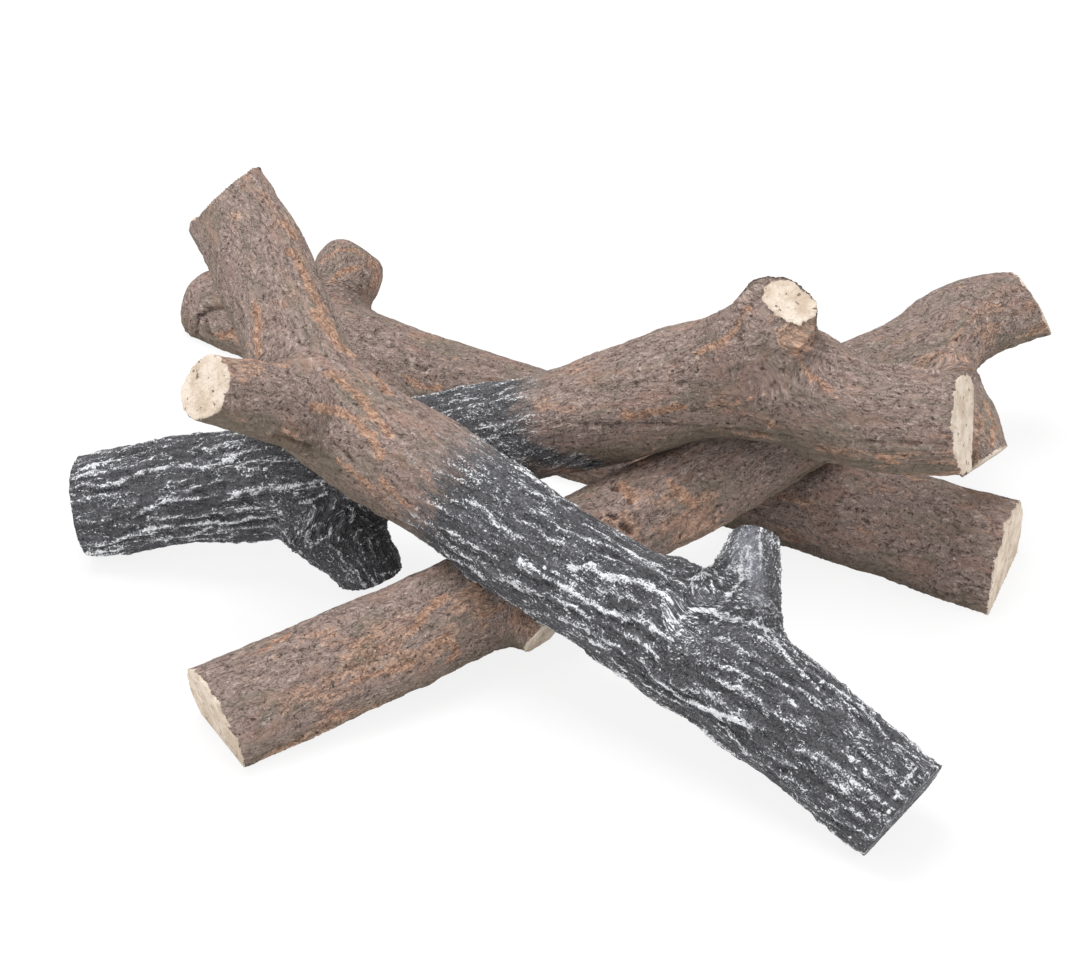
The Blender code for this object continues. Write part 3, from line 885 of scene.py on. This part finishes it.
def charred_bark_paint():
    """Charcoal paint with painted shade in hollows and painted highlight on crests, dry-brushed with
    ash white along the thin raised edges.
    """
    group, graph, given = effect("charred bark paint", "Crest", "Ash", "Dust")
    grain = given["Grain"]
    broad = graph.stretched(grain, 0.45)
    patch = graph.speckle(broad, 0.015, detail=3.0, rough=0.55, twist=0.5)
    long = graph.stretched(grain, 0.30)
    fibre = graph.speckle(long, 0.0018, detail=3.0, rough=0.6, twist=0.4)
    line = graph.ridges(long, 0.0062, detail=3.0, rough=0.60, twist=0.7, width=0.060)
    short = graph.stretched(grain, 0.75)
    curl = graph.ridges(short, 0.0034, detail=1.0, rough=0.5, twist=1.1, width=0.075)
    grit = graph.speckle(grain, 0.0012, detail=2.0, rough=0.7)

    # Painted shade and highlight: the charcoal is darker in hollows and paler where the bark stands
    # out.
    shade = graph.total((given["Crest"], 0.9), (fibre, 1.0), (grit, 1.1), (patch, 0.5))
    tone = graph.mix(graph.step(shade, 1.25, 1.75), SOOT, CHARCOAL)
    tone = graph.mix(graph.step(shade, 1.75, 2.20), tone, PALE_CHARCOAL)

    # The dry brush leaves a grey haze, and white where it catches a raised edge.
    brushed = ((given["Ash"], 0.85), (given["Crest"], 0.2), (line, 0.42), (curl, 0.40))
    ash = graph.total(*brushed, (patch, 1.1), (grit, 1.9), (given["Dust"], 0.12))
    tone = graph.mix(graph.step(ash, 1.90, 2.30, 0.0, 0.50), tone, GREY_ASH)
    tone = graph.mix(graph.step(ash, 2.31, 2.46, 0.0, 0.97), tone, WHITE_ASH)

    # Dust lies on the burnt stub.
    dusty = graph.total((given["Dust"], 1.0), (curl, 0.35), (fibre, 0.8), (patch, 0.6))
    tone = graph.mix(graph.step(dusty, 1.10, 2.20, 0.0, 0.50), tone, LILAC_DUST)

    height = graph.total((given["Ash"], 0.5), (line, 0.60), (curl, 0.40), (fibre, 0.7), (grit, 0.6))
    give(group, tone, graph.step(grit, 0.3, 0.7, 0.90, 0.74), height)
    return group


CHARRED_BARK_PAINT = charred_bark_paint()


def burnt_mask(graph, grain):
    """Where the charcoal paint is sprayed, with a speckled edge."""
    spray = graph.speckle(graph.stretched(grain, 0.5), 0.006, detail=4.0, rough=0.75)
    return graph.step(graph.total((graph.mark("char"), 1.0), (spray, 1.2)), 0.72, 1.45)


burnt_bark = surface(
    "painted burnt bark",
    (BROWN_BARK_PAINT, CHARRED_BARK_PAINT, BARE_CERAMIC),
    (None, burnt_mask, sawn_mask),
)

BENT_LENGTH = 0.442
BENT_RADIUS = 0.035
BENT_BACK = 0.017
BENT_CHARRED_TO = 0.262
BENT_BROWN_FROM = 0.325
BENT_BARK_SKEW = -0.07
BENT_LIE = lie((-0.3092, 0.0069, 0.0284), -2.3, 13.42, 52.0)
bent_trunk_shares = (
    (-0.08, 0, 0, 0.78),
    (0, 0, 0, 0.84),
    (0.05, -0.001, 0, 0.92),
    (0.11, 0.000, 0, 0.94),
    (0.26, -0.009, 0, 0.99),
    (0.40, -0.010, 0, 0.99),
    (0.52, -0.008, 0, 0.93),
    (0.65, -0.003, 0, 0.90),
    (0.79, 0.007, 0, 0.99),
    (0.90, 0.018, 0, 1.05),
    (1.00, 0.000, 0, 1.10),
    (1.09, -0.058, 0, 0.97),
    (1.17, -0.084, 0, 0.94),
    (1.25, -0.104, 0, 0.88),
    (1.32, -0.120, 0, 0.86),
)
bent_leg_shares = (
    (0.33, -0.03, 0, 0.97),
    (0.355, -0.08, -0.05, 0.83),
    (0.388, -0.135, -0.20, 0.64),
    (0.415, -0.225, -0.42, 0.53),
)
bent_stub_shares = (
    (0.93, 0.02, 0.20, 0.98),
    (1.003, 0.058, 0.76, 0.82),
    (1.05, 0.113, 1.42, 0.56),
)
bent_limbs = [
    limb(rows, BENT_LENGTH, BENT_RADIUS)
    for rows in (bent_trunk_shares, bent_leg_shares, bent_stub_shares)
]
bent_cuts = (
    ((0.0027, 0, 0), (-0.99, 0.05, 0.05), 0.06),
    ((0.549, -0.0469, 0), (0.95, -0.19, 0.21), 0.06),
    ((0.178, -0.0712, -0.0098), (0.08, -0.86, -0.50), 0.04),
    ((0.460, 0.0389, 0.0368), (0.41, 0.36, 0.84), 0.035),
)
bent = Skin("bent_log", BENT_LIE, bent_limbs, bent_cuts, BENT_BACK)
bent_burnt = 1 - eased(bent.mould[:, 0], BENT_CHARRED_TO, BENT_BROWN_FROM)
bent_rust_strokes = (
    (0.0032, ((748, 306), (738, 326), (722, 342), (697, 353))),
    (0.0026, ((796, 350), (808, 374), (832, 391))),
    (0.0036, ((625, 416), (655, 412), (683, 407))),
    (0.0012, ((738, 402), (752, 397), (764, 394))),
    (0.0032, ((878, 455), (896, 463))),
)
bent_ash_strokes = (
    (0.0016, ((77, 472), (110, 461), (132, 446), (170, 440))),
    (0.0018, ((115, 485), (145, 471), (182, 466), (210, 467), (242, 456))),
    (0.0016, ((195, 450), (207, 441))),
    (0.0017, ((217, 450), (231, 443), (245, 441))),
    (0.0018, ((132, 517), (167, 500), (205, 497), (245, 490), (282, 487), (325, 480))),
    (0.0017, ((320, 476), (327, 492), (314, 499), (300, 502))),
    (0.0014, ((95, 545), (142, 530), (170, 526), (220, 520))),
    (0.0014, ((87, 552), (127, 542), (182, 536), (225, 521))),
    (0.0015, ((265, 470), (275, 462), (287, 459), (300, 460))),
    (0.0019, ((347, 505), (355, 512), (352, 522))),
    (0.0014, ((307, 532), (320, 522), (332, 527), (330, 536), (320, 540), (312, 547))),
    (0.0015, ((280, 525), (290, 540), (312, 560))),
    (0.0014, ((365, 560), (372, 568), (380, 575), (397, 570))),
)
bent_carving = (
    (0.0020, 0.0026, ((797, 345), (818, 353), (845, 358), (900, 367), (932, 372), (964, 378))),
    (0.0026, 0.0040, ((740, 304), (748, 293), (760, 285))),
    (0.0018, 0.0035, ((800, 322), (812, 326), (820, 336), (816, 346))),
    (0.0012, 0.0016, ((738, 403), (752, 398), (764, 395))),
    (-0.0016, 0.0018, ((596, 425), (662, 424), (728, 429), (770, 436))),
    (-0.0016, 0.0018, ((780, 436), (867, 441), (946, 444))),
    (-0.0014, 0.0017, ((640, 437), (700, 433), (760, 442))),
    (-0.0022, 0.0018, ((781, 370), (784, 372))),
)
bent_soot_stroke = ((512, 446), (552, 459), (592, 465))
bent_elbow_edge = ((797, 346), (818, 354), (845, 359), (900, 368), (932, 373), (962, 379))
bent_stub_bare = ((784, 298), (796, 305))
bent_worn = worn_bark(bent.grain) + lip(bent) + bent.carved(bent_carving)
bent_ash = bent.drawn(bent_ash_strokes)
bent_charred, bent_crest = charred_bark(bent.grain, BENT_RADIUS, BENT_BARK_SKEW, bent.fork(1))
bent_charred = bent_charred + ASH_RISE * bent_ash
bent_crest = np.maximum(0.66 * bent_crest, 0.80 * bent_ash)
bent_height = burnt_marks(bent, bent_worn, bent_charred, bent_crest, bent_burnt)
# The charcoal paint runs on under the log: soot, and painted shade there.
bent_soot = 0.9 * bent.stroke(bent_soot_stroke, width=0.015, softness=0.1, ragged=0.003)
bent.marks["char"] = np.maximum(bent.marks["char"], bent_soot)
bent.glaze(bent_rust_strokes)
# A painted highlight runs along the sharp edge of the elbow.
bent.rub(width=0.0016, pixels=bent_elbow_edge)
bent.paint_over(index=3, radius=0.0145, kept=bent_stub_bare)
bent.raise_by(bent_height)
bent.finished(burnt_bark, "bent_log")


# Top log: charred from its butt, at the front right, to its middle, and brown from there to its
# long fork. It lies over the cross log and the bent log, with a burnt stub on its right and a
# short sawn stub beside the fork.

TOP_LENGTH = 0.435
TOP_RADIUS = 0.035
TOP_BACK = 0.016
TOP_CHARRED_TO = 0.290
TOP_BROWN_FROM = 0.368
TOP_BARK_SKEW = -0.12
TOP_LIE = lie((0.1757, -0.2851, 0.0219), 141.1, 13.32, -18.0)
top_trunk_shares = (
    (-0.09, 0, 0, 0.88),
    (0, -0.002, 0, 0.92),
    (0.10, -0.011, 0, 0.95),
    (0.20, -0.018, 0, 0.98),
    (0.34, -0.023, 0, 1.05),
    (0.49, -0.013, 0, 0.98),
    (0.63, -0.005, 0, 1.00),
    (0.79, -0.006, 0, 1.01),
    (0.90, 0.003, 0, 1.00),
    (1.00, 0.000, 0, 1.00),
    (1.12, -0.064, 0, 0.90),
    (1.23, -0.122, 0, 0.90),
    (1.36, -0.180, 0, 0.86),
    (1.43, -0.212, 0, 0.85),
)
top_branch_shares = (
    (0.96, 0.01, 0.10, 0.84),
    (1.01, 0.083, 0.97, 0.68),
    (1.045, 0.141, 1.69, 0.59),
    (1.07, 0.189, 2.23, 0.57),
)
top_stub_shares = (
    (0.44, -0.036, 0, 0.93),
    (0.34, -0.05, 0, 1.00),
    (0.355, -0.12, 0, 0.67),
    (0.395, -0.203, 0, 0.42),
    (0.425, -0.27, 0, 0.38),
)
top_limbs = [
    limb(rows, TOP_LENGTH, TOP_RADIUS)
    for rows in (top_trunk_shares, top_branch_shares, top_stub_shares)
]
top_cuts = (
    ((0, 0, 0), (-0.98, 0.02, -0.19), 0.06),
    ((0.592, -0.0792, 0), (0.90, 0, 0.44), 0.05),
    ((0.455, 0.0653, 0.0651), (0.36, 0.57, 0.74), 0.04),
    ((0.172, -0.0914, 0), (0.40, -0.90, 0.10), 0.03),
)
top = Skin("top_log", TOP_LIE, top_limbs, top_cuts, TOP_BACK)
top_burnt = 1 - eased(top.mould[:, 0], TOP_CHARRED_TO, TOP_BROWN_FROM)
top_rust_strokes = (
    (0.0036, ((286, 223), (295, 238))),
    (0.0046, ((291, 251), (304, 272), (313, 293), (321, 307))),
    (0.0080, ((319, 314), (334, 333))),
    (0.0076, ((337, 340), (352, 354))),
    (0.0050, ((360, 360), (374, 376), (388, 392))),
    (0.0046, ((255, 307), (258, 322), (257, 340), (258, 352))),
    (0.0036, ((330, 373), (357, 393), (377, 420), (390, 434))),
    (0.0042, ((315, 407), (347, 413), (370, 437), (382, 455))),
    (0.0014, ((213, 423), (233, 433), (253, 443))),
    (0.0030, ((382, 480), (400, 499), (418, 512), (433, 521))),
    (0.0026, ((338, 461), (354, 473), (372, 488))),
)
top_ash_strokes = (
    (0.0036, ((573, 568), (590, 566), (608, 578), (640, 582), (655, 590), (672, 603))),
    (0.0034, ((682, 619), (695, 610), (710, 612), (728, 619), (767, 631))),
    (0.0020, ((560, 619), (590, 632), (617, 646), (650, 672), (680, 697), (720, 713), (752, 727))),
    (0.0022, ((767, 637), (791, 664), (818, 688))),
    (0.0018, ((520, 560), (560, 585), (600, 608), (640, 622), (672, 640))),
    (0.0018, ((740, 567), (742, 580), (728, 597))),
    (0.0020, ((690, 582), (707, 575), (722, 578))),
    (0.0017, ((560, 600), (575, 607), (590, 618))),
    (0.0017, ((585, 525), (610, 540), (640, 560), (668, 572))),
    (0.0016, ((822, 684), (842, 694), (862, 708), (878, 728), (892, 742))),
    (0.0026, ((893, 742), (905, 750), (918, 758))),
    (0.0020, ((898, 792), (906, 780), (915, 770))),
    (0.0014, ((868, 836), (890, 811), (914, 783), (931, 762))),
)
top_carving = (
    (0.0022, 0.0026, ((270, 433), (273, 428), (285, 430), (303, 438), (330, 443))),
    (-0.0034, 0.0030, ((276, 438), (290, 442), (308, 448))),
    (-0.0020, 0.0014, ((330, 442), (347, 453), (352, 462))),
    (-0.0022, 0.0022, ((298, 340), (302, 343))),
    (-0.0022, 0.0024, ((306, 362), (310, 366))),
    (-0.0020, 0.0020, ((385, 388), (397, 394))),
)
top_moss_stroke = ((205, 410), (262, 438), (330, 466))
top_dust_stroke = ((748, 535), (752, 560), (757, 596))
top_fork_bare = ((193, 226), (200, 235))
top_worn = worn_bark(top.grain) + lip(top) + top.carved(top_carving)
top_ash = top.drawn(top_ash_strokes)
top_charred, top_crest = charred_bark(top.grain, TOP_RADIUS, TOP_BARK_SKEW, top.fork(2))
top_charred = top_charred + ASH_RISE * top_ash
top_crest = np.maximum(0.80 * top_crest, top_ash)
top_height = burnt_marks(top, top_worn, top_charred, top_crest, top_burnt)
top.glaze(top_rust_strokes)
# A recess on the log's lower side gets a painted olive shade.
top_moss = top.stroke(top_moss_stroke, width=0.012)
top.marks["moss"] = np.maximum(top.marks["moss"], top_moss)
top.marks["dust"] = top.stroke(top_dust_stroke, width=0.016, softness=0.2, ragged=0.004)
top.paint_over(index=1, radius=0.007, kept=top_fork_bare)
top.raise_by(top_height)
top.finished(burnt_bark, "top_log")


# Floor and light: a plain pale floor that shows white to the camera and keeps a soft shadow,
# under three soft lamps. The white grows with distance, so that the floor's far edge can't be
# told from the white world behind it.

FLOOR_HALF = 6.0
SHADOW_TO = 0.9
WHITE_FROM = 2.2
WHITE_NEAR = 0.85
WORLD_LIGHT = 0.60
WHITE = (1.0, 1.0, 1.0, 1.0)
FLOOR_GREY = (0.92, 0.92, 0.92, 1.0)


def direct(graph):
    """1 where the camera sees a thing straight, in a reflection or through glass, else 0."""
    rays = graph.node("ShaderNodeLightPath").outputs
    shown = graph.maths("MAXIMUM", rays["Is Camera Ray"], rays["Is Glossy Ray"])
    return graph.maths("MAXIMUM", shown, rays["Is Transmission Ray"])


floor_body = bmesh.new()
bmesh.ops.create_grid(floor_body, x_segments=1, y_segments=1, size=FLOOR_HALF)
floor_mesh = bpy.data.meshes.new("floor")
floor_body.to_mesh(floor_mesh)
floor_body.free()
floor = bpy.data.objects.new("floor", floor_mesh)
bpy.context.scene.collection.objects.link(floor)

floor_paint = bpy.data.materials.new("floor")
floor_paint.use_nodes = True
graph = Graph(floor_paint.node_tree)
matt = graph.node("ShaderNodeBsdfDiffuse", {"Color": FLOOR_GREY}).outputs[0]
glow = graph.node("ShaderNodeEmission", {"Color": WHITE, "Strength": 1.0}).outputs[0]
place = graph.node("ShaderNodeTexCoord").outputs["Object"]
away = graph.node("ShaderNodeVectorMath", {0: place}, operation="LENGTH").outputs["Value"]
white = graph.step(away, SHADOW_TO, WHITE_FROM, WHITE_NEAR, 1.0)
veil = graph.maths("MULTIPLY", direct(graph), white)
veiled = graph.node("ShaderNodeMixShader", {0: veil, 1: matt, 2: glow}).outputs[0]
graph.tree.links.new(veiled, graph.tree.nodes["Material Output"].inputs["Surface"])
floor_mesh.materials.append(floor_paint)


def lamp(name, place, size, watts):
    """A soft square lamp that faces the pile."""
    data = bpy.data.lights.new(name, "AREA")
    data.size = size
    data.energy = watts
    made = bpy.data.objects.new(name, data)
    made.location = place
    made.rotation_euler = (Vector(place) - AIM).to_track_quat("Z", "Y").to_euler()
    bpy.context.scene.collection.objects.link(made)


lamp("overhead lamp", place=(-0.4, 0.3, 2.4), size=1.4, watts=50)
lamp("left lamp", place=(-2.0, -1.2, 1.3), size=1.4, watts=17)
lamp("right lamp", place=(2.1, -1.2, 1.1), size=1.6, watts=22)

world = bpy.data.worlds.new("studio")
world.use_nodes = True
graph = Graph(world.node_tree)
backdrop = graph.tree.nodes["Background"]
graph.tree.links.new(graph.blend(direct(graph), WORLD_LIGHT, 1.0), backdrop.inputs["Strength"])
backdrop.inputs["Color"].default_value = WHITE
bpy.context.scene.world = world
bpy.context.scene.view_settings.view_transform = "Standard"
